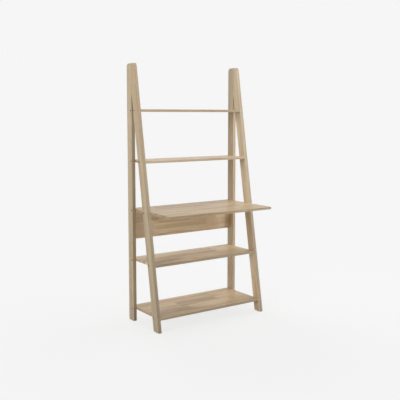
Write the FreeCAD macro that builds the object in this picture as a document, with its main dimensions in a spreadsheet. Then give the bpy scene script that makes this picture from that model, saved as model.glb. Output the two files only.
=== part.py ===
import FreeCAD, Part
import os
import re
import Sketcher

# Ladder desk: two A-shaped side frames of flat timber carry four shelves, a deep desktop and a back panel.
# +Z is up, the front faces -Y, and the origin lies on the floor under the middle of the desk.
# In the names below, "forward" is a distance from the rear plane towards the front.

os.makedirs("parts", exist_ok=True)
doc = FreeCAD.newDocument("LadderDesk")
sheet = doc.addObject("Spreadsheet::Sheet", "Dimensions")

DRIVING = [
    ("overall_height", 1700, "floor to the head of the side frames"),
    ("overall_width", 850, "over the outer faces of the side frames"),
    ("desktop_depth", 485, "rear plane to the desktop's front edge"),
    ("timber_thickness", 24, "posts and legs, across the desk"),
    ("timber_width", 61, "posts and legs, square to their length"),
    ("foot_reach", 380, "rear plane to the leg's front edge, at the floor"),
    ("head_reach", 90, "rear plane to the leg's front edge, at the head"),
    ("head_rear_radius", 25, "rounded corners at the head of a frame"),
    ("head_front_radius", 19, ""),
    ("timber_arris", 2, "eased edges of posts and legs"),
    ("board_thickness", 16, "shelves, desktop and back panel"),
    ("board_arris", 1, "eased edges of the boards"),
    ("bottom_shelf_top", 95, "height of each board's upper face"),
    ("lower_shelf_top", 423, ""),
    ("desktop_top", 754, ""),
    ("upper_shelf_top", 1077, ""),
    ("top_shelf_top", 1405, ""),
    ("panel_height", 190, "back panel, below the desktop"),
    ("bolt_inset", 13, "bolt to the timber's nearest inner edge"),
    ("dowel_inset", 20, "dowel to the timber's outer edge"),
    ("bolt_radius", 2.95, "M6 connector bolt"),
    ("bolt_length", 60, "under the head"),
    ("bolt_head_radius", 5, ""),
    ("bolt_head_height", 6, ""),
    ("bolt_sink", 0.5, "head below the outer face"),
    ("socket_radius", 2.9, "across the corners of the 5 mm hexagon"),
    ("socket_depth", 3, ""),
    ("bolt_hole_radius", 3.4, ""),
    ("head_hole_radius", 5.6, ""),
    ("nut_radius", 5, "barrel nut"),
    ("nut_length", 12, ""),
    ("nut_thread_radius", 3, ""),
    ("nut_slot", 1.2, "width and depth of the screwdriver slot"),
    ("nut_hole_radius", 5.1, ""),
    ("nut_distance", 34, "board end to the barrel nut's axis"),
    ("bolt_hole_depth", 48, "in the board's end"),
    ("dowel_radius", 4, "wooden location dowel"),
    ("dowel_length", 30, ""),
    ("dowel_chamfer", 1, ""),
    ("dowel_hole_radius", 4.05, ""),
    ("dowel_in_timber", 12, "length of dowel inside a post or leg"),
    ("dowel_in_desktop", 9, "length of panel dowel inside the desktop"),
    ("hole_spare", 0.8, "a blind hole is this much too deep"),
    ("panel_dowel_spread", 280, "middle of the desk to the outer panel dowels"),
    ("head_dowel_low", 1530, "heights of the dowels in the head joint"),
    ("head_dowel_middle", 1585, ""),
    ("head_dowel_high", 1640, ""),
    ("cam_rise", 60, "panel's middle height to a cam"),
    ("cam_distance", 24, "panel end to the cam's axis"),
    ("cam_radius", 7.4, ""),
    ("cam_length", 12, ""),
    ("cam_sink", 0.3, "cam below the panel's rear face"),
    ("cam_recess", 2, "depth of the cross recess"),
    ("cam_recess_width", 1.6, ""),
    ("cam_hole_radius", 7.5, ""),
    ("cam_hole_depth", 12.6, ""),
    ("pin_thread_radius", 2.95, "cam pin, part in the post"),
    ("pin_thread_length", 11, ""),
    ("pin_neck_radius", 2.1, ""),
    ("pin_head_radius", 3.3, ""),
    ("pin_hole_radius", 3, "in the post"),
    ("pin_bore_radius", 4, "in the panel's end"),
    ("glide_height", 3, "nailed plastic glide under each foot"),
    ("glide_radius", 9, ""),
    ("glide_taper", 1, ""),
    ("nail_radius", 1, ""),
    ("nail_head_radius", 2.6, ""),
    ("nail_head_height", 1, ""),
    ("nail_length", 20, ""),
    ("nail_hole_radius", 1.05, ""),
]

DERIVED = [
    ("rear_face", "=desktop_depth / 2"),
    ("half_width", "=overall_width / 2"),
    ("inner_face", "=half_width - timber_thickness"),
    ("timber_middle", "=half_width - timber_thickness / 2"),
    ("half_timber", "=timber_thickness / 2"),
    ("half_board", "=board_thickness / 2"),
    ("leg_slope", "=(foot_reach - head_reach) / overall_height"),
    ("leg_depth", "=timber_width * sqrt(1 + leg_slope * leg_slope)"),
    ("leg_foot_front", "=foot_reach - leg_slope * glide_height"),
    ("leg_foot_rear", "=leg_foot_front - leg_depth"),
    ("leg_foot_middle", "=leg_foot_front - leg_depth / 2"),
    ("split_height", "=(foot_reach - leg_depth - timber_width) / leg_slope"),
    ("post_middle", "=timber_width / 2"),
    ("post_bolt", "=timber_width - bolt_inset"),
    ("bolt_face", "=half_width - bolt_sink"),
    ("head_hole_depth", "=bolt_head_height + bolt_sink"),
    ("nut_across", "=inner_face - nut_distance"),
    ("nut_hole_depth", "=half_board + nut_length / 2 + 0.2"),
    ("dowel_across", "=inner_face + dowel_in_timber - dowel_length / 2"),
    ("timber_dowel_hole", "=dowel_in_timber + hole_spare"),
    ("board_dowel_hole", "=dowel_length - dowel_in_timber + hole_spare"),
    ("head_dowel_hole", "=dowel_length / 2 + hole_spare"),
    ("desktop_dowel_hole", "=dowel_in_desktop + hole_spare"),
    ("panel_dowel_hole", "=dowel_length - dowel_in_desktop + hole_spare"),
    ("panel_top", "=desktop_top - board_thickness"),
    ("panel_bottom", "=panel_top - panel_height"),
    ("panel_middle", "=panel_bottom + panel_height / 2"),
    ("panel_half_height", "=panel_height / 2"),
    ("panel_dowel_height", "=panel_top + dowel_in_desktop - dowel_length / 2"),
    ("cam_low", "=panel_middle - cam_rise"),
    ("cam_high", "=panel_middle + cam_rise"),
    ("cam_low_in_panel", "=panel_half_height - cam_rise"),
    ("cam_high_in_panel", "=panel_half_height + cam_rise"),
    ("cam_across", "=inner_face - cam_distance"),
    ("cam_pin_depth", "=half_board - cam_sink"),
    ("pin_face", "=inner_face + pin_thread_length"),
    ("pin_hole_depth", "=pin_thread_length + hole_spare"),
    ("pin_bore_depth", "=cam_distance + cam_radius"),
    ("nail_base", "=(glide_height - nail_head_height) / 2"),
    ("nail_hole_depth", "=nail_base + nail_head_height + nail_length - glide_height + hole_spare"),
]

BOARDS = ["top_shelf", "upper_shelf", "desktop", "lower_shelf", "bottom_shelf"]

# A shelf ends flush with the front edges of the legs. The desktop goes on past them.
for name in BOARDS:
    DERIVED.append((f"{name}_underside", f"={name}_top - board_thickness"))
    DERIVED.append((f"{name}_middle", f"={name}_top - board_thickness / 2"))
    DERIVED.append((f"{name}_nut_height", f"={name}_middle - nut_length / 2"))
    DERIVED.append((f"{name}_leg_front", f"=foot_reach - leg_slope * {name}_middle"))
    DERIVED.append((f"{name}_leg_bolt", f"={name}_leg_front - leg_depth + bolt_inset"))
    DERIVED.append((f"{name}_leg_dowel", f"={name}_leg_front - dowel_inset"))
    if name != "desktop":
        DERIVED.append((f"{name}_depth", f"=foot_reach - leg_slope * {name}_top"))


def fill_sheet():
    row = 1
    for alias, size, note in DRIVING:
        sheet.set(f"A{row}", str(size))
        sheet.setAlias(f"A{row}", alias)
        sheet.set(f"B{row}", note or alias.replace("_", " "))
        row += 1
    for alias, formula in DERIVED:
        sheet.set(f"A{row}", formula)
        sheet.setAlias(f"A{row}", alias)
        sheet.set(f"B{row}", alias.replace("_", " "))
        row += 1
    doc.recompute()


def bind(thing, path, formula):
    """Bind a property to a formula of the sheet's aliases."""
    thing.setExpression(path, re.sub(r"[a-z][a-z_]+", r"Dimensions.\g<0>", formula))


def number(name):
    """The size behind one alias, which may carry a minus sign."""
    if name == "0":
        return 0
    size = float(sheet.get(name.lstrip("-")))
    return -size if name.startswith("-") else size


# Sketches. Each point is held by its distances from the sketch's axes, and "0" puts it on an axis.

def hold(sketch, kind, axis, geometry, point, name):
    if name == "0":
        sketch.addConstraint(Sketcher.Constraint("PointOnObject", geometry, point, axis))
        return
    size = abs(number(name))
    if name.startswith("-"):
        added = sketch.addConstraint(Sketcher.Constraint(kind, geometry, point, -1, 1, size))
    else:
        added = sketch.addConstraint(Sketcher.Constraint(kind, -1, 1, geometry, point, size))
    bind(sketch, f"Constraints[{added}]", name.lstrip("-"))


def spot(across, up):
    """Where a point starts, before the constraints hold it."""
    return FreeCAD.Vector(number(across), number(up), 0)


def new_sketch(body, name, plane, offset="0"):
    sketch = body.newObject("Sketcher::SketchObject", name)
    for feature in body.Origin.OriginFeatures:
        if feature.Role == plane:
            sketch.AttachmentSupport = [(feature, "")]
    sketch.MapMode = "FlatFace"
    bind(sketch, "AttachmentOffset.Base.z", offset)
    return sketch


def draw_outline(body, name, plane, corners):
    sketch = new_sketch(body, name, plane)
    count = len(corners)
    for here in range(count):
        start = spot(*corners[here])
        end = spot(*corners[(here + 1) % count])
        sketch.addGeometry(Part.LineSegment(start, end), False)
    for here in range(count):
        sketch.addConstraint(Sketcher.Constraint("Coincident", here, 2, (here + 1) % count, 1))
        across, up = corners[here]
        hold(sketch, "DistanceX", -2, here, 1, across)
        hold(sketch, "DistanceY", -1, here, 1, up)
    return sketch


def draw_circles(body, name, plane, circles, offset="0"):
    sketch = new_sketch(body, name, plane, offset)
    for across, up, radius in circles:
        circle = Part.Circle(spot(across, up), FreeCAD.Vector(0, 0, 1), number(radius))
        geometry = sketch.addGeometry(circle, False)
        hold(sketch, "DistanceX", -2, geometry, 3, across)
        hold(sketch, "DistanceY", -1, geometry, 3, up)
        added = sketch.addConstraint(Sketcher.Constraint("Radius", geometry, number(radius)))
        bind(sketch, f"Constraints[{added}]", radius)
    return sketch


# Features. A hole must take away material, or its direction is wrong.

def pad(body, sketch, thickness, turned=False):
    feature = body.newObject("PartDesign::Pad", sketch.Name + "_pad")
    feature.Profile = sketch
    bind(feature, "Length", thickness)
    feature.Reversed = turned
    doc.recompute()
    return feature


def drill(body, name, plane, circles, depth, turned=False, offset="0"):
    before = body.Shape.Volume
    sketch = draw_circles(body, name, plane, circles, offset)
    feature = body.newObject("PartDesign::Pocket", name + "_pocket")
    feature.Profile = sketch
    feature.Reversed = turned
    if depth == "through":
        feature.Type = "ThroughAll"
    else:
        bind(feature, "Length", depth)
    doc.recompute()
    if body.Shape.Volume > before - 1:
        raise RuntimeError(f"{body.Label}: {name} takes nothing away")


def ease(body, feature, edges, radius):
    """Round the named edges of a body's last feature."""
    fillet = body.newObject("PartDesign::Fillet", f"{feature.Name}_{radius}")
    fillet.Base = (feature, edges)
    bind(fillet, "Radius", radius)
    doc.recompute()
    return fillet


def edges_where(shape, test):
    return [f"Edge{index + 1}" for index, edge in enumerate(shape.Edges) if test(edge.BoundBox)]


def new_body(name, across, up):
    """A body whose origin is on the rear plane."""
    body = doc.addObject("PartDesign::Body", name)
    body.Label = name
    bind(body, "Placement.Base.x", across)
    bind(body, "Placement.Base.y", "rear_face")
    bind(body, "Placement.Base.z", up)
    return body


subparts = []

# Side frames: the outline lies on the outer face, and the pad goes inwards.

POST_OUTLINE = [
    ("0", "glide_height"),
    ("-timber_width", "glide_height"),
    ("-timber_width", "overall_height"),
    ("0", "overall_height"),
]
LEG_OUTLINE = [
    ("-leg_foot_rear", "glide_height"),
    ("-leg_foot_front", "glide_height"),
    ("-head_reach", "overall_height"),
    ("-timber_width", "overall_height"),
    ("-timber_width", "split_height"),
]


def side_timber(side, part, outline, round_corner, head_radius):
    """A post or leg, padded and eased, before its holes."""
    right = side == "right"
    body = new_body(f"{side}_{part}", "half_width" if right else "-half_width", "0")
    sketch = draw_outline(body, f"{side}_{part}_outline", "YZ_Plane", outline)
    blank = pad(body, sketch, "timber_thickness", turned=right)
    top = number("overall_height")
    corner = number(round_corner)

    def at_head(box):
        return box.YLength < 0.01 and box.ZMin > top - 0.01 and abs(box.YMin - corner) < 0.01

    rounded = ease(body, blank, edges_where(blank.Shape, at_head), head_radius)
    ease(body, rounded, edges_where(rounded.Shape, lambda box: box.XLength < 0.01), "timber_arris")
    subparts.append(body)
    return body


def drill_board_fixings(body, side, bolts, dowels):
    """Sunk bolt holes from outside and blind dowel holes from inside, level with every board."""
    right = side == "right"
    name = body.Label
    middles = [f"{board}_middle" for board in BOARDS]
    shanks = [(f"-{bolt}", middle, "bolt_hole_radius") for bolt, middle in zip(bolts, middles)]
    heads = [(f"-{bolt}", middle, "head_hole_radius") for bolt, middle in zip(bolts, middles)]
    pegs = [(f"-{dowel}", middle, "dowel_hole_radius") for dowel, middle in zip(dowels, middles)]
    inside = "-timber_thickness" if right else "timber_thickness"
    drill(body, f"{name}_bolt_holes", "YZ_Plane", shanks, "through", turned=not right)
    drill(body, f"{name}_head_holes", "YZ_Plane", heads, "head_hole_depth", turned=not right)
    drill(body, f"{name}_dowel_holes", "YZ_Plane", pegs, "timber_dowel_hole", turned=right, offset=inside)


def drill_head_joint(body, side, turned):
    middle = "-half_timber" if side == "right" else "half_timber"
    heights = ["head_dowel_low", "head_dowel_middle", "head_dowel_high"]
    circles = [(middle, height, "dowel_hole_radius") for height in heights]
    drill(body, f"{body.Label}_joint_holes", "XZ_Plane", circles, "head_dowel_hole", turned, "timber_width")


def drill_foot(body, side, forward):
    middle = "-half_timber" if side == "right" else "half_timber"
    circles = [(middle, f"-{forward}", "nail_hole_radius")]
    drill(body, f"{body.Label}_nail_hole", "XY_Plane", circles, "nail_hole_depth", True, "glide_height")


def rear_post(side):
    body = side_timber(side, "rear_post", POST_OUTLINE, "0", "head_rear_radius")
    drill_board_fixings(body, side, ["post_bolt"] * len(BOARDS), ["dowel_inset"] * len(BOARDS))
    drill_head_joint(body, side, turned=False)
    drill_foot(body, side, "post_middle")
    right = side == "right"
    inside = "-timber_thickness" if right else "timber_thickness"
    pins = [("-half_board", height, "pin_hole_radius") for height in ("cam_low", "cam_high")]
    peg = [("-half_board", "panel_middle", "dowel_hole_radius")]
    drill(body, f"{side}_cam_pin_holes", "YZ_Plane", pins, "pin_hole_depth", turned=right, offset=inside)
    drill(body, f"{side}_panel_dowel_hole", "YZ_Plane", peg, "timber_dowel_hole", turned=right, offset=inside)


def front_leg(side):
    body = side_timber(side, "front_leg", LEG_OUTLINE, "-head_reach", "head_front_radius")
    bolts = [f"{board}_leg_bolt" for board in BOARDS]
    dowels = [f"{board}_leg_dowel" for board in BOARDS]
    drill_board_fixings(body, side, bolts, dowels)
    drill_head_joint(body, side, turned=True)
    drill_foot(body, side, "leg_foot_middle")


# Boards: rectangles between the inner faces of the frames, drilled in both ends and from below.

def rectangle(across, near, far):
    return [(f"-{across}", near), (across, near), (across, far), (f"-{across}", far)]


def ease_long_edges(body, blank):
    long_edges = edges_where(blank.Shape, lambda box: box.YLength < 0.01 and box.ZLength < 0.01)
    ease(body, blank, long_edges, "board_arris")


def drill_both_ends(body, name, circles, depth):
    for side, offset in (("left", "-inner_face"), ("right", "inner_face")):
        drill(body, f"{body.Label}_{side}_{name}", "YZ_Plane", circles, depth, side == "left", offset)


def make_board(name):
    body = new_body(name, "0", f"{name}_underside")
    outline = rectangle("inner_face", "0", f"-{name}_depth")
    blank = pad(body, draw_outline(body, f"{name}_outline", "XY_Plane", outline), "board_thickness")
    ease_long_edges(body, blank)
    bolts = ["-post_bolt", f"-{name}_leg_bolt"]
    dowels = ["-dowel_inset", f"-{name}_leg_dowel"]
    ends = [(bolt, "half_board", "bolt_hole_radius") for bolt in bolts]
    pegs = [(dowel, "half_board", "dowel_hole_radius") for dowel in dowels]
    nuts = [(across, bolt, "nut_hole_radius") for across in ("-nut_across", "nut_across") for bolt in bolts]
    drill_both_ends(body, "bolt_holes", ends, "bolt_hole_depth")
    drill_both_ends(body, "dowel_holes", pegs, "board_dowel_hole")
    drill(body, f"{name}_nut_holes", "XY_Plane", nuts, "nut_hole_depth", turned=True)
    subparts.append(body)
    return body


PANEL_DOWELS = ["-panel_dowel_spread", "0", "panel_dowel_spread"]


def desktop():
    body = make_board("desktop")
    circles = [(across, "-half_board", "dowel_hole_radius") for across in PANEL_DOWELS]
    drill(body, "desktop_panel_dowel_holes", "XY_Plane", circles, "desktop_dowel_hole", turned=True)


def back_panel():
    body = new_body("back_panel", "0", "panel_bottom")
    outline = rectangle("inner_face", "0", "panel_height")
    blank = pad(body, draw_outline(body, "back_panel_outline", "XZ_Plane", outline), "board_thickness")
    ease_long_edges(body, blank)
    cam_heights = ["cam_low_in_panel", "cam_high_in_panel"]
    bores = [("-half_board", height, "pin_bore_radius") for height in cam_heights]
    pegs = [("-half_board", "panel_half_height", "dowel_hole_radius")]
    sides = ["-cam_across", "cam_across"]
    cams = [(across, height, "cam_hole_radius") for across in sides for height in cam_heights]
    tops = [(across, "-half_board", "dowel_hole_radius") for across in PANEL_DOWELS]
    drill_both_ends(body, "pin_bores", bores, "pin_bore_depth")
    drill_both_ends(body, "dowel_holes", pegs, "board_dowel_hole")
    drill(body, "back_panel_cam_holes", "XZ_Plane", cams, "cam_hole_depth", turned=True)
    drill(body, "back_panel_top_holes", "XY_Plane", tops, "panel_dowel_hole", False, "panel_height")
    subparts.append(body)


# Fittings. Each is made once, standing on the origin along Z, and repeated by links that turn it.

UPRIGHT = FreeCAD.Rotation()
TO_RIGHT = FreeCAD.Rotation(FreeCAD.Vector(0, 1, 0), 90)
TO_LEFT = FreeCAD.Rotation(FreeCAD.Vector(0, 1, 0), -90)
TO_FRONT = FreeCAD.Rotation(FreeCAD.Vector(1, 0, 0), 90)
HALF_TURN = FreeCAD.Rotation(FreeCAD.Vector(0, 0, 1), 180)
TO_FRONT_TURNED = TO_FRONT.multiply(HALF_TURN)


def cylinder(name, radius, length, base="0"):
    shape = doc.addObject("Part::Cylinder", name)
    bind(shape, "Radius", radius)
    bind(shape, "Height", length)
    bind(shape, "Placement.Base.z", base)
    return shape


def block(name, length, width, height, corner_x, base):
    """A box whose width lies evenly about the XZ plane."""
    shape = doc.addObject("Part::Box", name)
    bind(shape, "Length", length)
    bind(shape, "Width", width)
    bind(shape, "Height", height)
    bind(shape, "Placement.Base.x", corner_x)
    bind(shape, "Placement.Base.y", f"-({width}) / 2")
    bind(shape, "Placement.Base.z", base)
    return shape


def fuse(name, shapes):
    joined = doc.addObject("Part::MultiFuse", name)
    joined.Shapes = shapes
    return joined


def cut(name, base, tool):
    result = doc.addObject("Part::Cut", name)
    result.Base = base
    result.Tool = tool
    return result


def make_bolt():
    head = cylinder("bolt_head", "bolt_head_radius", "bolt_head_height")
    shank = cylinder("bolt_shank", "bolt_radius", "bolt_length", "bolt_head_height")
    socket = doc.addObject("Part::Prism", "bolt_socket")
    socket.Polygon = 6
    bind(socket, "Circumradius", "socket_radius")
    bind(socket, "Height", "socket_depth")
    return cut("bolt", fuse("bolt_blank", [head, shank]), socket)


def make_barrel_nut():
    barrel = cylinder("nut_barrel", "nut_radius", "nut_length")
    thread = doc.addObject("Part::Cylinder", "nut_thread")
    bind(thread, "Radius", "nut_thread_radius")
    bind(thread, "Height", "4 * nut_radius")
    thread.Placement.Rotation = TO_RIGHT
    bind(thread, "Placement.Base.x", "-2 * nut_radius")
    bind(thread, "Placement.Base.z", "nut_length / 2")
    slot = block("nut_slot_cut", "4 * nut_radius", "nut_slot", "nut_slot", "-2 * nut_radius", "0")
    return cut("barrel_nut", cut("nut_threaded", barrel, thread), slot)


def make_dowel():
    """A dowel along Z, with its middle at the origin and its ends chamfered."""
    peg = doc.addObject("Part::Cylinder", "dowel_blank")
    bind(peg, "Radius", "dowel_radius")
    bind(peg, "Height", "dowel_length")
    bind(peg, "Placement.Base.z", "-dowel_length / 2")
    doc.recompute()
    size = number("dowel_chamfer")
    chamfered = doc.addObject("Part::Chamfer", "dowel")
    chamfered.Base = peg
    rims = [i + 1 for i, edge in enumerate(peg.Shape.Edges) if edge.BoundBox.ZLength < 0.01]
    chamfered.Edges = [(rim, size, size) for rim in rims]
    return chamfered


def make_cam_pin():
    """Screwed part, neck and head along Z, from the blind end in the post to the middle of the cam."""
    thread = cylinder("pin_thread", "pin_thread_radius", "pin_thread_length")
    neck = cylinder("pin_neck", "pin_neck_radius", "cam_distance", "pin_thread_length")
    head = doc.addObject("Part::Sphere", "pin_head")
    bind(head, "Radius", "pin_head_radius")
    bind(head, "Placement.Base.z", "pin_thread_length + cam_distance")
    return fuse("cam_pin", [thread, neck, head])


def make_cam():
    """A disc along Z with a cross recess in its face and a mouth towards +X for the pin's head."""
    disc = cylinder("cam_disc", "cam_radius", "cam_length")
    wide = "1.1 * pin_head_radius"
    base = f"cam_pin_depth - {wide}"
    mouth = block("cam_mouth", "2 * cam_radius", f"2 * {wide}", "cam_length", f"-{wide}", base)
    arm = "0.6 * cam_radius"
    broad = "cam_recess_width"
    bar = block("cam_recess_bar", f"2 * {arm}", broad, "cam_recess", f"-{arm}", "0")
    cross = block("cam_recess_cross", broad, f"2 * {arm}", "cam_recess", f"-{broad} / 2", "0")
    return cut("cam", disc, fuse("cam_openings", [mouth, bar, cross]))


def make_glide():
    foot = doc.addObject("Part::Cone", "glide_foot")
    bind(foot, "Radius1", "glide_radius - glide_taper")
    bind(foot, "Radius2", "glide_radius")
    bind(foot, "Height", "glide_height")
    recess = doc.addObject("Part::Cylinder", "glide_recess")
    bind(recess, "Radius", "nail_head_radius * 1.05")
    bind(recess, "Height", "nail_base + nail_head_height")
    hole = cylinder("glide_hole", "nail_hole_radius", "glide_height")
    return cut("glide", foot, fuse("glide_openings", [recess, hole]))


def make_nail():
    head = cylinder("nail_head", "nail_head_radius", "nail_head_height")
    shank = cylinder("nail_shank", "nail_radius", "nail_length", "nail_head_height")
    return fuse("nail", [head, shank])


def group(name, master, places):
    """One sub-part of equal solids. A place is across, forward, up and a turn."""
    links = []
    for across, forward, up, turn in places:
        link = doc.addObject("App::Link", f"{name}_{len(links) + 1}")
        link.LinkedObject = master
        bind(link, "Placement.Base.x", across)
        bind(link, "Placement.Base.y", f"rear_face - {forward}")
        bind(link, "Placement.Base.z", up)
        link.Placement.Rotation = turn
        links.append(link)
    together = doc.addObject("Part::Compound", name)
    together.Label = name
    together.Links = links
    subparts.append(together)


def board_fittings(name, bolt, nut, dowel):
    """Bolts, barrel nuts and dowels at both ends of one board."""
    forwards = ["post_bolt", f"{name}_leg_bolt"]
    pegs = ["dowel_inset", f"{name}_leg_dowel"]
    middle = f"{name}_middle"
    bolts = []
    nuts = []
    dowels = []
    for sign, turn in (("-", TO_RIGHT), ("", TO_LEFT)):
        for forward in forwards:
            bolts.append((f"{sign}bolt_face", forward, middle, turn))
            nuts.append((f"{sign}nut_across", forward, f"{name}_nut_height", UPRIGHT))
        for peg in pegs:
            dowels.append((f"{sign}dowel_across", peg, middle, turn))
    group(f"{name}_bolts", bolt, bolts)
    group(f"{name}_barrel_nuts", nut, nuts)
    group(f"{name}_dowels", dowel, dowels)


def panel_fittings(dowel, pin, cam):
    pins = []
    cams = []
    for height in ("cam_low", "cam_high"):
        pins.append(("-pin_face", "half_board", height, TO_RIGHT))
        pins.append(("pin_face", "half_board", height, TO_LEFT))
        cams.append(("-cam_across", "cam_sink", height, TO_FRONT_TURNED))
        cams.append(("cam_across", "cam_sink", height, TO_FRONT))
    group("back_panel_cam_pins", pin, pins)
    group("back_panel_cam_locks", cam, cams)
    ends = [("-dowel_across", "half_board", "panel_middle", TO_RIGHT)]
    ends.append(("dowel_across", "half_board", "panel_middle", TO_LEFT))
    group("back_panel_end_dowels", dowel, ends)
    tops = [(across, "half_board", "panel_dowel_height", UPRIGHT) for across in PANEL_DOWELS]
    group("back_panel_top_dowels", dowel, tops)


def head_joint(side, dowel):
    across = "timber_middle" if side == "right" else "-timber_middle"
    heights = ["head_dowel_low", "head_dowel_middle", "head_dowel_high"]
    group(f"{side}_head_dowels", dowel, [(across, "timber_width", height, TO_FRONT) for height in heights])


def feet(glide, nail):
    nails = []
    for side, across in (("left", "-timber_middle"), ("right", "timber_middle")):
        for end, forward in (("rear", "post_middle"), ("front", "leg_foot_middle")):
            group(f"{side}_{end}_glide", glide, [(across, forward, "0", UPRIGHT)])
            nails.append((across, forward, "nail_base", UPRIGHT))
    group("glide_nails", nail, nails)


def write_parts():
    doc.recompute()
    faults = [thing.Label for thing in doc.Objects if set(thing.State) & {"Invalid", "Error"}]
    for part in subparts:
        if part.Shape.isNull() or not part.Shape.isValid():
            faults.append(part.Label)
    if faults:
        raise RuntimeError("not sound: " + ", ".join(faults))
    for part in subparts:
        part.Shape.exportStep(f"parts/{part.Label}.step")


fill_sheet()
for side in ("left", "right"):
    rear_post(side)
    front_leg(side)
for name in BOARDS:
    if name == "desktop":
        desktop()
    else:
        make_board(name)
back_panel()
bolt = make_bolt()
nut = make_barrel_nut()
dowel = make_dowel()
for name in BOARDS:
    board_fittings(name, bolt, nut, dowel)
panel_fittings(dowel, make_cam_pin(), make_cam())
for side in ("left", "right"):
    head_joint(side, dowel)
feet(make_glide(), make_nail())
write_parts()
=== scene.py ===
import bpy
import math
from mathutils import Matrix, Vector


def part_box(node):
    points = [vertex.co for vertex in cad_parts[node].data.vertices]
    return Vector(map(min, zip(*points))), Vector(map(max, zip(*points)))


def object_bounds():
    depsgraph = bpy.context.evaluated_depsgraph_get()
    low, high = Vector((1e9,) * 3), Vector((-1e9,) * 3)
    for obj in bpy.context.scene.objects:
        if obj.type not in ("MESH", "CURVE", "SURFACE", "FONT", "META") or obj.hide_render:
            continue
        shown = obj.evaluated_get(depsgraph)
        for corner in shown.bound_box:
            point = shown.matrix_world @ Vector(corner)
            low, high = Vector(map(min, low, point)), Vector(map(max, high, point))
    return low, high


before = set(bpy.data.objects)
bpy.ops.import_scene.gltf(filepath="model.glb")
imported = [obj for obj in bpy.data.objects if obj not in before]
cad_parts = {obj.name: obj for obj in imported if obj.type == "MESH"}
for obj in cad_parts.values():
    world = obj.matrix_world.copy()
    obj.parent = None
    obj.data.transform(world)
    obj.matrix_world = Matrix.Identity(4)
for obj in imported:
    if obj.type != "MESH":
        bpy.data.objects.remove(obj)        # every piece is a CAD node; this script gives them their finishes
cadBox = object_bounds()
print("frame loaded:", len(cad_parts), "nodes")


# shader maths: a wire wraps one socket, and sums or products of wires add their Math nodes

class Wire:
    def __init__(self, finish, socket):
        self.finish = finish
        self.socket = socket

    def maths(self, operation, *terms):
        return self.finish.add("ShaderNodeMath", {"operation": operation}, dict(enumerate(terms)))

    def __add__(self, other):
        return self.maths("ADD", self, other)

    def __radd__(self, other):
        return self.maths("ADD", other, self)

    def __sub__(self, other):
        return self.maths("SUBTRACT", self, other)

    def __rsub__(self, other):
        return self.maths("SUBTRACT", other, self)

    def __mul__(self, other):
        return self.maths("MULTIPLY", self, other)

    def __rmul__(self, other):
        return self.maths("MULTIPLY", other, self)

    def __truediv__(self, other):
        return self.maths("DIVIDE", self, other)

    def __rtruediv__(self, other):
        return self.maths("DIVIDE", other, self)

    def __pow__(self, other):
        return self.maths("POWER", self, other)

    def __rpow__(self, other):
        return self.maths("POWER", other, self)

    def whole(self):
        return self.maths("FLOOR", self)

    def part(self):
        return self.maths("FRACT", self)

    def size(self):
        return self.maths("ABSOLUTE", self)

    def least(self, other):
        return self.maths("MINIMUM", self, other)

    def above(self, limit):
        return self.maths("GREATER_THAN", self, limit)

    def rise(self, low, high):      # 0 below low, 1 above high, smooth between
        settings = {"interpolation_type": "SMOOTHSTEP"}
        return self.finish.add("ShaderNodeMapRange", settings, {0: self, 1: low, 2: high})

    def out(self, name):            # another output of the same node
        return Wire(self.finish, self.socket.node.outputs[name])


# an edge shows where the softened normal turns away from the true one, from "starts" on
easedEdge = {"samples": 6, "starts": 0.005, "full": 0.16}
facingLimit = 0.7       # cosine of the widest turn at which a face still counts as looking that way


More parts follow.
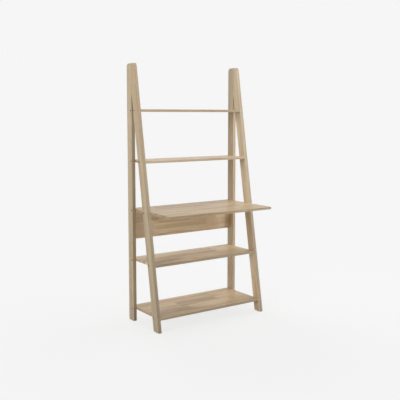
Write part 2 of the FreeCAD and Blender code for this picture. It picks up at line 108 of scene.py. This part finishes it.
class Finish:
    def __init__(self, name):
        self.material = bpy.data.materials.new(name)
        self.material.use_nodes = True
        self.tree = self.material.node_tree
        self.tree.nodes.clear()

    def add(self, kind, settings=None, sockets=None, output=0):
        node = self.tree.nodes.new(kind)
        for key, value in (settings or {}).items():
            setattr(node, key, value)
        for key, value in (sockets or {}).items():
            if isinstance(value, Wire):
                self.tree.links.new(value.socket, node.inputs[key])
            else:
                node.inputs[key].default_value = value
        return Wire(self, node.outputs[output]) if node.outputs else node

    def places(self):               # x, y and z in the row frame, metres
        spot = self.add("ShaderNodeTexCoord", output="Object")
        x = self.add("ShaderNodeSeparateXYZ", sockets={0: spot})
        return x, x.out("Y"), x.out("Z")

    def join(self, x, y, z):
        return self.add("ShaderNodeCombineXYZ", sockets={0: x, 1: y, 2: z})

    def noise(self, spot, detail=2.0, roughness=0.5):
        sockets = {"Vector": spot, "Scale": 1.0, "Detail": detail, "Roughness": roughness}
        return self.add("ShaderNodeTexNoise", {}, sockets)

    def speckle(self, place, often, detail=2.0, roughness=0.5):
        # often: how many times a metre the noise changes along x, y and z
        return self.noise(self.join(*(way * times for way, times in zip(place, often))), detail, roughness)

    def chance(self, x, y, z):      # three random numbers for each whole place
        settings = {"noise_dimensions": "3D"}
        colour = self.add("ShaderNodeTexWhiteNoise", settings, {"Vector": self.join(x, y, z)}, "Color")
        first = self.add("ShaderNodeSeparateColor", sockets={0: colour})
        return first, first.out("Green"), first.out("Blue")

    def mix(self, share, first, second, blend="MIX"):
        settings = {"data_type": "RGBA", "blend_type": blend}
        return self.add("ShaderNodeMix", settings, {0: share, 6: first, 7: second}, 2)

    def facing(self, way):          # 1 where a face looks that way, -1 where it looks the other way
        true = self.add("ShaderNodeNewGeometry", output="Normal")
        return self.add("ShaderNodeVectorMath", {"operation": "DOT_PRODUCT"}, {0: true, 1: way}, "Value")

    def faces(self, way):           # 1 on the faces that look that way, 0 on all others
        return self.facing(way).above(facingLimit)

    def edges(self, reach):         # 1 on eased edges, 0 on flat faces
        soft = self.add("ShaderNodeBevel", {"samples": easedEdge["samples"]}, {"Radius": reach})
        return (1 - self.facing(soft)).rise(easedEdge["starts"], easedEdge["full"])

    def surface(self, colour, roughness, height, depth, **fixed):
        # fixed: what is the same all over, set on the shader's own sockets
        bump = self.add("ShaderNodeBump", {}, {"Height": height, "Distance": depth, "Strength": 1.0})
        sockets = {"Base Color": colour, "Roughness": roughness, "Normal": bump}
        sockets.update({key.replace("_", " "): value for key, value in fixed.items()})
        shader = self.add("ShaderNodeBsdfPrincipled", {}, sockets)
        self.add("ShaderNodeOutputMaterial", {}, {"Surface": shader})
        return self.material


def tint(red, green, blue):
    # a colour as it is read on a screen, 0 to 255, turned into a shader's colour
    shares = [level / 255 for level in (red, green, blue)]
    return tuple(((share + 0.055) / 1.055) ** 2.4 for share in shares) + (1.0,)


def paint(material, *names):
    for name in names:
        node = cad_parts[name]
        node.data.materials.clear()
        node.data.materials.append(material)


# oak: growth rings round a pith outside the piece, open pores in the early wood, rays and slow streaks
# along and across say how often a layer changes in a metre; jump and apart set one stave off from the next;
# a range says where a layer starts to show and where it is full; the pith leans away from the piece's line;
# light, rough and relief say how much each layer adds to them or takes away

oak = {
    "pale": tint(216, 199, 169),
    "middle": tint(201, 180, 148),
    "brown": tint(174, 149, 115),
    "rosy": tint(204, 173, 147),
    "honey": tint(206, 182, 137),
    "pore": tint(128, 103, 75),
    "slice": 3.0,                   # which slice of the random numbers the staves read
    "pith": {"distance": 0.085, "spread": 0.16, "lean": 0.035},
    "drift": {"along": 1.3, "across": 4.0, "apart": 3.0, "jump": 40.0, "aside": 0.035, "deep": 0.02},
    "rings": {"width": 0.0031, "along": 3.0, "across": 30.0, "round": 6.0, "jump": 9.0, "wobble": 1.6},
    "years": {"step": 1.7, "apart": 5.0, "early": (0.0, 0.45)},
    "pores": {"length": 0.011, "width": 0.00045, "jump": 31.0, "range": (0.6, 0.74), "late": 0.25},
    "rays": {"width": 0.0005, "along": 70.0, "across": 26.0, "jump": 17.0, "range": (0.63, 0.74)},
    "streaks": {"along": 1.1, "across": 26.0, "apart": 7.0, "jump": 21.0},      # long bands, 40 mm wide
    "fibres": {"along": 5.0, "across": 260.0, "jump": 13.0},
    "clouds": {"along": 2.2, "across": 7.0, "apart": 2.0, "jump": 11.0},
    "light": {"base": 0.55, "streaks": 1.5, "years": 0.6, "fibres": 0.7, "early": 0.28, "rays": 0.22},
    "paleRange": (0.35, 0.95),
    "brownRange": (-0.05, 0.5),
    "rosyRange": (0.45, 0.75),
    "honeyRange": (0.25, 0.5),
    "cloudShare": 0.35,
    "poreShare": 0.55,
    "seamShare": 0.45,
    "endRange": (0.6, 0.95),
    "endDarker": 0.22,
    "edgeReach": 0.0018,
    "edgeWearAndHighlight": 0.22,
    "rough": {"base": 0.52, "fibres": 0.2, "pores": 0.2, "rays": 0.06, "end": 0.12, "edge": 0.06},
    "relief": {"base": 0.6, "early": 0.12, "seam": 0.8, "fibres": 0.15, "depth": 0.00025},
    "gloss": 0.25,
    "lacquer": 0.2,
    "lacquerRoughness": 0.2,
}


def oakGrain(finish, place, stave, seed):
    along, across, through = place
    first, second, third = finish.chance(stave, seed, oak["slice"])

    def run(look, pick):            # the place along the grain, with the stave's own jump
        return along * look["along"] + pick * look["jump"]

    look = oak["drift"]
    spot = finish.join(run(look, first), across * look["across"], stave * look["apart"] + seed)
    drift = finish.noise(spot, detail=1.0) - 0.5
    pith = oak["pith"]
    sideways = across + (first - 0.5) * pith["spread"] + along * (second - 0.5) * pith["lean"]
    sideways = sideways + drift * look["aside"]
    deep = through + pith["distance"] * (0.5 + third) + drift * look["deep"]
    radius = (sideways * sideways + deep * deep) ** 0.5
    turn = radius.maths("ARCTAN2", sideways, deep)

    look = oak["rings"]
    spot = finish.join(run(look, first), radius * look["across"], turn * look["round"])
    rings = radius / look["width"] + finish.noise(spot) * look["wobble"]
    look = oak["years"]
    early = 1 - rings.part().rise(*look["early"])
    spot = finish.join(rings.whole() * look["step"], seed, stave * look["apart"])
    yearly = finish.noise(spot, detail=0.0)

    # pores are short dashes along the grain, rays are thin ribbons across the rings
    look = oak["pores"]
    dash = along / look["length"] + first * look["jump"]
    spot = finish.join(dash, across / look["width"], through / look["width"])
    pores = finish.noise(spot, detail=1.0).rise(*look["range"]) * (look["late"] + early * (1 - look["late"]))
    look = oak["rays"]
    ribbon = turn * (pith["distance"] / look["width"])
    spot = finish.join(run(look, second), ribbon, radius * look["across"])
    rays = finish.noise(spot, detail=0.0).rise(*look["range"])

    look = oak["streaks"]
    aside = across * look["across"] + stave * look["apart"]
    spot = finish.join(run(look, third), aside, through * look["across"])
    streaks = finish.noise(spot, detail=3.0, roughness=0.55)
    look = oak["fibres"]
    spot = finish.join(run(look, first), across * look["across"], through * look["across"])
    fibres = finish.noise(spot, roughness=0.6)
    look = oak["clouds"]
    spot = finish.join(run(look, second), across * look["across"], stave * look["apart"] + seed)
    clouds = finish.noise(spot)
    return early, yearly, pores, rays, streaks, fibres, clouds


def oakFinish(place, endWay, seed, depth, stain, stave=0.0, tone=0.0, seam=0.0, contrast=1.0):
    finish = place[0].finish
    early, yearly, pores, rays, streaks, fibres, clouds = oakGrain(finish, place, stave, seed)
    endGrain = finish.facing(endWay).size().rise(*oak["endRange"])
    edge = finish.edges(oak["edgeReach"])

    look = oak["light"]
    light = look["base"] + (streaks - 0.5) * look["streaks"] * contrast
    light = light + (yearly - 0.5) * look["years"] * contrast + tone
    light = light + (fibres - 0.5) * look["fibres"] - early * look["early"] + rays * look["rays"]
    rosy = clouds.rise(*oak["rosyRange"]) * oak["cloudShare"] * contrast
    honey = (1 - clouds.rise(*oak["honeyRange"])) * oak["cloudShare"] * contrast
    colour = finish.mix(light.rise(*oak["paleRange"]), oak["middle"], oak["pale"])
    colour = finish.mix(1 - light.rise(*oak["brownRange"]), colour, oak["brown"])
    colour = finish.mix(rosy, colour, oak["rosy"])
    colour = finish.mix(honey, colour, oak["honey"])
    colour = finish.mix(pores * oak["poreShare"], colour, oak["pore"])
    colour = finish.mix(seam * oak["seamShare"], colour, oak["pore"])
    colour = finish.mix(endGrain * oak["endDarker"], colour, oak["brown"])
    # depth multiplies in the painted light and shade of the faces, with the staves' own tones and patches
    colour = finish.mix(1.0, colour, depth, "MULTIPLY")
    colour = finish.mix(1.0, colour, stain, "MULTIPLY")
    # eased edges are painted paler: partly wear where the lacquer runs thin, partly a painted highlight along
    # the arris
    colour = finish.mix(edge * oak["edgeWearAndHighlight"], colour, oak["pale"])

    look = oak["rough"]
    roughness = look["base"] + (fibres - 0.5) * look["fibres"] + pores * look["pores"] - rays * look["rays"]
    roughness = roughness + endGrain * look["end"] + edge * look["edge"]
    look = oak["relief"]
    height = look["base"] - pores - early * look["early"] - seam * look["seam"] + fibres * look["fibres"]
    return finish.surface(
        colour, roughness, height, look["depth"],
        Specular_IOR_Level=oak["gloss"], Coat_Weight=oak["lacquer"], Coat_Roughness=oak["lacquerRoughness"])


# side frames: the grain runs along each post and leg
# each face is painted lighter or darker, painted light and shade standing in for how the light falls on it:
# how light it is painted at the head, and at the foot

timber = {
    "left_rear_post": {
        "seed": 3.0,
        "outer": (1.06, 0.87),
        "inner": (1.0, 1.0),
        "front": (0.75, 0.65),
        "stain": (1.0, 0.99, 0.97, 1.0),
    },
    "left_front_leg": {
        "seed": 13.0,
        "outer": (1.14, 0.88),
        "inner": (1.0, 1.0),
        "front": (1.34, 0.68),
        "stain": (1.0, 1.0, 1.0, 1.0),
    },
    "right_rear_post": {
        "seed": 8.0,
        "outer": (1.0, 1.0),
        "inner": (0.84, 1.12),
        "front": (1.5, 1.07),
        "stain": (0.98, 1.0, 1.06, 1.0),
    },
    "right_front_leg": {
        "seed": 21.0,
        "outer": (1.0, 1.0),
        "inner": (1.1, 1.26),
        "front": (1.46, 0.88),
        "stain": (0.97, 1.0, 1.05, 1.0),
    },
}

# painted shade: the tight corner under each head, where the leg parts from the post, is painted darker where
# shade falls in the crevice
cornerShade = {"reach": 0.15, "darker": 0.6}
headReach = 0.1         # a leg's front edge is read this far below its top
samePlane = 0.0005      # a point this close to the rearmost one lies in the leg's upright rear cut


def meshPoints(name):
    return [vertex.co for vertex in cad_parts[name].data.vertices]


def partingHeight(side):
    # the height at which leg and post part: the lower end of the leg's upright rear cut
    points = meshPoints(side + "_front_leg")
    rear = max(point.y for point in points)
    return min(point.z for point in points if point.y > rear - samePlane)


def legLean(name):
    # the angle of a leg's front edge from upright, read from its foot and head
    points = meshPoints(name)
    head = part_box(name)[1].z
    foot = min(points, key=lambda point: point.y)
    front = min((point for point in points if point.z > head - headReach), key=lambda point: point.y)
    return math.atan2(front.y - foot.y, front.z - foot.z)


def finishTimber(name, look):
    low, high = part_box(name)
    middle = (low + high) / 2
    isLeg = name.endswith("leg")
    side = name.split("_")[0]
    lean = legLean(name) if isLeg else 0.0
    outward = -1.0 if side == "left" else 1.0
    finish = Finish("oak_" + name)
    x, y, z = finish.places()
    forward = y - middle.y
    up = z - middle.z
    along = up * math.cos(lean) + forward * math.sin(lean)
    across = forward * math.cos(lean) - up * math.sin(lean)
    endWay = (0.0, math.sin(lean), math.cos(lean))
    ways = {"outer": (outward, 0.0, 0.0), "inner": (-outward, 0.0, 0.0), "front": (0.0, -1.0, 0.0)}
    # painted light and shade: each face is painted lighter or darker, running from head to foot
    depth = 1.0
    for face, way in ways.items():
        head, foot = look[face]
        paintedLightness = foot + z / high.z * (head - foot)
        depth = depth + finish.faces(way) * (paintedLightness - 1)
    parting = partingHeight(side)
    intoCorner = (0.0, 1.0 if isLeg else -1.0, 0.0)
    # painted shade in the crevice under the head, fading out downwards
    cornerShadeMask = finish.faces(intoCorner) * z.rise(parting - cornerShade["reach"], parting)
    depth = depth * (1 - cornerShadeMask * cornerShade["darker"])
    place = (along, across, x - middle.x)
    paint(oakFinish(place, endWay, look["seed"], depth, look["stain"]), name)


for name, look in timber.items():
    finishTimber(name, look)
print("timber finished")


# boards: staves side by side along X, butted end to end in each row
# trim is what the first row lost when the board was cut to width, and face and front say how light
# the board and its front face are painted: face is partly the board's own tone and partly painted light,
# front is painted light and shade on the front face; rows start at the rear edge, or at the top of the
# upright panel, and each gives the lightness of its staves from left to right, then where the joints between
# them lie
# a patch is a darker or paler spot in the figure: its x, how far in it lies, its length, width and depth

staves = {"width": 0.121, "most": 3, "seam": 0.00035, "seamRange": (0.4, 1.2), "contrast": 1.5}

boards = {
    "top_shelf": {
        "seed": 31.0,
        "trim": 0.04,
        "face": 1.0,
        "front": 1.06,
        "stain": (1.0, 0.985, 0.96, 1.0),
        "rows": [
            ([0.0, 0.06], [-0.21]),
            ([0.05, -0.04], [0.14]),
        ],
        "patches": [
            (0.1, 0.06, 0.12, 0.02, 0.3),
        ],
    },
    "upper_shelf": {
        "seed": 37.0,
        "trim": 0.09,
        "face": 1.0,
        "front": 1.28,
        "stain": (1.0, 1.0, 1.0, 1.0),
        "rows": [
            ([0.03, -0.05], [0.05]),
            ([-0.03, 0.07], [-0.28]),
            ([0.02, -0.02], [0.2]),
        ],
        "patches": [
            (-0.12, 0.1, 0.14, 0.025, 0.3),
        ],
    },
    "desktop": {
        "seed": 43.0,
        "trim": 0.005,
        "face": 0.935,
        "front": 1.0,
        "stain": (1.0, 0.97, 0.93, 1.0),
        "rows": [
            ([0.0, -0.07, 0.03], [0.04, 0.22]),
            ([-0.02, 0.0], [0.1]),
            ([0.0, 0.04], [0.28]),
            ([-0.02, 0.03, 0.05], [-0.2, 0.12]),
            ([0.0, -0.05], [0.2]),
        ],
        "patches": [
            (-0.17, 0.07, 0.1, 0.02, 0.35),
            (0.02, 0.16, 0.14, 0.035, 0.25),
            (0.22, 0.12, 0.1, 0.02, 0.3),
        ],
    },
    # the lighter tones of the lower shelf's front rows are partly painted light, lifting the desktop's shade
    # on them
    "lower_shelf": {
        "seed": 51.0,
        "trim": 0.07,
        "face": 1.155,
        "front": 0.75,
        "stain": (1.0, 0.99, 0.98, 1.0),
        "rows": [
            ([-0.03, -0.05, 0.0], [0.0, 0.16]),
            ([-0.02, -0.1, 0.02], [-0.3, 0.2]),
            ([0.15, 0.12, 0.12], [-0.1, 0.15]),
            ([0.1, 0.08], [0.0]),
        ],
        "patches": [
            (-0.22, 0.22, 0.12, 0.03, 0.4),
            (0.12, 0.15, 0.1, 0.025, 0.35),
            (0.27, 0.1, 0.08, 0.04, -0.35),
        ],
    },
    "bottom_shelf": {
        "seed": 63.0,
        "trim": 0.03,
        "face": 0.965,
        "front": 0.88,
        "stain": (1.0, 0.965, 0.915, 1.0),
        "rows": [
            ([0.04, 0.09], [0.19]),
            ([0.0, -0.11, 0.0], [-0.14, 0.17]),
            ([-0.02, 0.08, -0.04], [-0.1, 0.24]),
            ([-0.04, 0.02], [0.05]),
        ],
        "patches": [
            (0.1, 0.175, 0.14, 0.04, 0.5),
            (-0.16, 0.3, 0.16, 0.03, 0.4),
            (0.08, 0.28, 0.13, 0.035, -0.4),
            (0.29, 0.11, 0.09, 0.05, -0.4),
        ],
    },
    "back_panel": {
        "seed": 74.0,
        "trim": 0.02,
        "face": 1.05,
        "front": 1.43,
        "stain": (0.97, 1.0, 1.03, 1.0),
        "rows": [
            ([-0.08, -0.02, 0.02], [-0.2, 0.28]),
            ([-0.05, 0.0, 0.03], [-0.24, 0.2]),
        ],
        "patches": [
            (-0.05, 0.19, 0.3, 0.035, 0.45),
            # painted shadow: this darker patch is the shade on the panel under the desktop's left end
            (-0.2, 0.068, 0.08, 0.02, 0.35),
        ],
    },
}

# the rim of a patch wanders, more across the grain than along it
patchRim = {
    "along": 7.0,
    "across": 24.0,
    "slice": 4.0,
    "longways": 1.2,
    "sideways": 2.4,
    "range": (0.2, 1.1),
}


def figurePatches(finish, x, across, patches):
    spot = finish.join(x * patchRim["along"], across * patchRim["across"], patchRim["slice"])
    wander = finish.noise(spot) - 0.5
    depth = 0.0
    for place, inward, length, width, strength in patches:
        along = (x - place) / length + wander * patchRim["longways"]
        aside = (across - inward) / width + wander * patchRim["sideways"]
        reach = (along * along + aside * aside) ** 0.5
        depth = depth + (1 - reach.rise(*patchRim["range"])) * strength
    return depth


def finishBoard(name, look):
    low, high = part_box(name)
    middle = (low + high) / 2
    finish = Finish("oak_" + name)
    x, y, z = finish.places()
    upright = name == "back_panel"
    across = high.z - z if upright else high.y - y
    through = y - middle.y if upright else z - middle.z
    rows = (across + look["trim"]) / staves["width"]
    row = rows.whole()
    tone = 0.0
    column = 0.0
    butt = 1.0                      # distance to the nearest joint in the row, at first out of reach
    for number, (tones, joints) in enumerate(look["rows"]):
        here = row.maths("COMPARE", row, float(number), 0.5)        # 1 in this row, 0 in the others
        tone = tone + here * tones[0]
        for joint, before, after in zip(joints, tones, tones[1:]):
            past = here * x.above(joint)
            tone = tone + past * (after - before)
            column = column + past
            butt = ((x - joint).size() + (1 - here)).least(butt)
    offCentre = (rows.part() - 0.5) * staves["width"]
    side = staves["width"] / 2 - offCentre.size()
    seam = 1 - (side.least(butt) / staves["seam"]).rise(*staves["seamRange"])
    stave = row * staves["most"] + column
    # painted light and shade: the front face takes its own lightness, front, and the rest of the board takes
    # face
    front = finish.faces((0.0, -1.0, 0.0))
    depth = (look["face"] + front * (look["front"] - look["face"])) * (1 + tone)
    place = (x, offCentre, through)
    endWay = (1.0, 0.0, 0.0)
    figure = tone - figurePatches(finish, x, across, look["patches"])
    contrast = staves["contrast"]
    wood = oakFinish(place, endWay, look["seed"], depth, look["stain"], stave, figure, seam, contrast)
    paint(wood, name)


for name, look in boards.items():
    finishBoard(name, look)
print("boards finished")


# bolts, nuts and cams: mottled metal, worn bright on the edges

metals = {
    "bolt_steel": {"colour": tint(104, 86, 66), "worn": tint(160, 140, 114), "roughness": 0.42},
    "zinc_steel": {"colour": tint(176, 178, 178), "worn": tint(205, 206, 205), "roughness": 0.34},
}
metalWear = {
    "mottle": (900.0, 900.0, 900.0),
    "blotch": (160.0, 160.0, 160.0),
    "edgeReach": 0.0004,
    "base": 0.4,                    # how much of an edge wears where the mottle is lowest
    "range": (0.35, 0.9),
    "share": 0.7,
    "rough": {"mottle": 0.25, "blotch": 0.2, "wear": 0.1},
    "bump": 0.00003,
}


def metalFinish(name):
    look = metals[name]
    finish = Finish(name)
    place = finish.places()
    mottle = finish.speckle(place, metalWear["mottle"], detail=3.0, roughness=0.6)
    blotch = finish.speckle(place, metalWear["blotch"])
    edge = finish.edges(metalWear["edgeReach"])
    wear = (edge * (metalWear["base"] + mottle)).rise(*metalWear["range"])
    colour = finish.mix(wear * metalWear["share"], look["colour"], look["worn"])
    rough = metalWear["rough"]
    roughness = look["roughness"] + (mottle - 0.5) * rough["mottle"] + (blotch - 0.5) * rough["blotch"]
    roughness = roughness - wear * rough["wear"]
    return finish.surface(colour, roughness, mottle, metalWear["bump"], Metallic=1.0)


# dowels: beech, with its small dark flecks; the grain runs along X, the way most of them lie

beech = {
    "pale": tint(226, 196, 158),
    "dark": tint(196, 158, 118),
    "fleck": tint(160, 118, 82),
    "grain": (60.0, 700.0, 700.0),
    "grainRange": (0.3, 0.7),
    "flecks": (500.0, 2600.0, 2600.0),
    "fleckRange": (0.6, 0.72),
    "fleckShare": 0.5,
    "roughness": 0.6,
    "roughnessSpread": 0.2,
    "bump": 0.0001,
}


def beechFinish():
    finish = Finish("beech")
    place = finish.places()
    grain = finish.speckle(place, beech["grain"], roughness=0.6)
    fleck = finish.speckle(place, beech["flecks"], detail=0.0).rise(*beech["fleckRange"])
    colour = finish.mix(grain.rise(*beech["grainRange"]), beech["pale"], beech["dark"])
    colour = finish.mix(fleck * beech["fleckShare"], colour, beech["fleck"])
    roughness = beech["roughness"] + (grain - 0.5) * beech["roughnessSpread"]
    return finish.surface(colour, roughness, grain, beech["bump"])


# foot glides: dark pebbled plastic, scuffed on the edges

glide = {
    "colour": tint(74, 62, 52),
    "scuffed": tint(104, 92, 80),
    "pebble": (1500.0, 1500.0, 1500.0),
    "scuff": (220.0, 220.0, 60.0),
    "scuffRange": (0.5, 0.7),
    "edgeReach": 0.0008,
    "edgeWear": 0.8,
    "scuffWear": 0.4,
    "wornRange": (0.2, 1.0),
    "wornShare": 0.6,
    "rough": {"base": 0.55, "pebble": 0.2, "worn": 0.1},
    "bump": 0.00005,
}


def glideFinish():
    finish = Finish("glide_plastic")
    place = finish.places()
    pebble = finish.speckle(place, glide["pebble"], roughness=0.6)
    scuff = finish.speckle(place, glide["scuff"], detail=3.0).rise(*glide["scuffRange"])
    edge = finish.edges(glide["edgeReach"])
    worn = (edge * glide["edgeWear"] + scuff * glide["scuffWear"]).rise(*glide["wornRange"])
    colour = finish.mix(worn * glide["wornShare"], glide["colour"], glide["scuffed"])
    rough = glide["rough"]
    roughness = rough["base"] + (pebble - 0.5) * rough["pebble"] + worn * rough["worn"]
    return finish.surface(colour, roughness, pebble, glide["bump"])


def nodesOf(*endings):
    return [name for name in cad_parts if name.endswith(endings)]


paint(metalFinish("bolt_steel"), *nodesOf("_bolts"))
paint(metalFinish("zinc_steel"), *nodesOf("_barrel_nuts", "_cam_pins", "_cam_locks", "_nails"))
paint(beechFinish(), *nodesOf("_dowels"))
paint(glideFinish(), *nodesOf("_glide"))
print("fittings finished")


# floor: takes light as a pale sheet, keeps the shadow, and fades into the backdrop

studio = {
    "backdrop": tint(246, 246, 246),
    "sheet": (0.86, 0.86, 0.86, 1.0),
    "floorSize": 60.0,
    "nearGlow": tint(248, 248, 248),        # makes up for the lit sheet, which is darker than the backdrop
    "shadowShare": 0.16,                    # how much of the lit sheet shows, near the object
    "fade": (0.6, 2.4),                     # metres from the middle
    "worldStrength": 0.14,
    "worldLight": (1.0, 0.99, 0.97, 1.0),
}


def seenDirectly(finish):
    path = finish.add("ShaderNodeLightPath", output="Is Camera Ray")
    seen = path + path.out("Is Glossy Ray") + path.out("Is Transmission Ray")
    return seen.above(0.5)


def makeFloor():
    bpy.ops.mesh.primitive_plane_add(size=studio["floorSize"])
    floor = bpy.context.object
    floor.name = "floor"
    finish = Finish("floor_sheet")
    x, y = finish.places()[:2]
    away = (x * x + y * y) ** 0.5
    near = 1 - away.rise(*studio["fade"])
    share = 1 - seenDirectly(finish) * (1 - near * studio["shadowShare"])
    lit = finish.add("ShaderNodeBsdfDiffuse", {}, {"Color": studio["sheet"]})
    glow = finish.mix(near, studio["backdrop"], studio["nearGlow"])
    plain = finish.add("ShaderNodeEmission", {}, {"Color": glow})
    surface = finish.add("ShaderNodeMixShader", {}, {0: share, 1: plain, 2: lit})
    finish.add("ShaderNodeOutputMaterial", {}, {"Surface": surface})
    floor.data.materials.append(finish.material)


class Sky(Finish):
    def __init__(self):
        world = bpy.data.worlds.new("studio")
        world.use_nodes = True
        bpy.context.scene.world = world
        self.tree = world.node_tree
        self.tree.nodes.clear()


def makeWorld():
    sky = Sky()
    soft = {"Color": studio["worldLight"], "Strength": studio["worldStrength"]}
    light = sky.add("ShaderNodeBackground", {}, soft)
    backdrop = sky.add("ShaderNodeBackground", {}, {"Color": studio["backdrop"], "Strength": 1.0})
    surface = sky.add("ShaderNodeMixShader", {}, {0: seenDirectly(sky), 1: light, 2: backdrop})
    sky.add("ShaderNodeOutputWorld", {}, {"Surface": surface})


# lamps: azimuth 0 is the front, 90 the right; each looks at the middle of the desk

lamps = {
    "left_box": {"azimuth": -75, "elevation": 20, "distance": 8.0, "size": 4.4, "power": 245},
    "front_box": {"azimuth": 50, "elevation": 5, "distance": 4.0, "size": 2.2, "power": 38},
    "right_box": {"azimuth": 95, "elevation": 20, "distance": 3.5, "size": 2.0, "power": 50},
    "top_box": {"azimuth": 0, "elevation": 88, "distance": 4.0, "size": 2.4, "power": 48},
    "rear_box": {"azimuth": 180, "elevation": 38, "distance": 4.0, "size": 2.2, "power": 64},
}


def makeLamp(name, look):
    around = math.radians(look["azimuth"])
    up = math.radians(look["elevation"])
    middle = (cadBox[0] + cadBox[1]) / 2
    lamp = bpy.data.lights.new(name, "AREA")
    lamp.shape = "DISK"
    lamp.size = look["size"]
    lamp.energy = look["power"]
    holder = bpy.data.objects.new(name, lamp)
    bpy.context.scene.collection.objects.link(holder)
    away = middle.copy()
    away.x = math.sin(around) * math.cos(up)
    away.y = -math.cos(around) * math.cos(up)
    away.z = math.sin(up)
    holder.location = middle + away * look["distance"]
    holder.rotation_euler = away.to_track_quat("Z", "Y").to_euler()
    holder.visible_camera = False


makeFloor()
makeWorld()
for name, look in lamps.items():
    makeLamp(name, look)
print("studio lit")


# camera: at a standing person's chest, to the left of the desk

view = {
    "place": (-2.527, -3.613, 1.367),
    "turn": -34.82,         # degrees; minus turns right from looking along +Y
    "tilt": -5.9,           # degrees; minus looks down
    "lens": 59.9,
    "sensor": 36.0,
    "shift": -0.04,
}

lens = bpy.data.cameras.new("camera")
lens.lens = view["lens"]
lens.sensor_width = view["sensor"]
lens.shift_y = view["shift"]
camera = bpy.data.objects.new("camera", lens)
camera.location = view["place"]
camera.rotation_euler = (math.radians(90 + view["tilt"]), 0.0, math.radians(view["turn"]))
bpy.context.scene.collection.objects.link(camera)
bpy.context.scene.camera = camera
bpy.context.scene.view_settings.view_transform = "Standard"
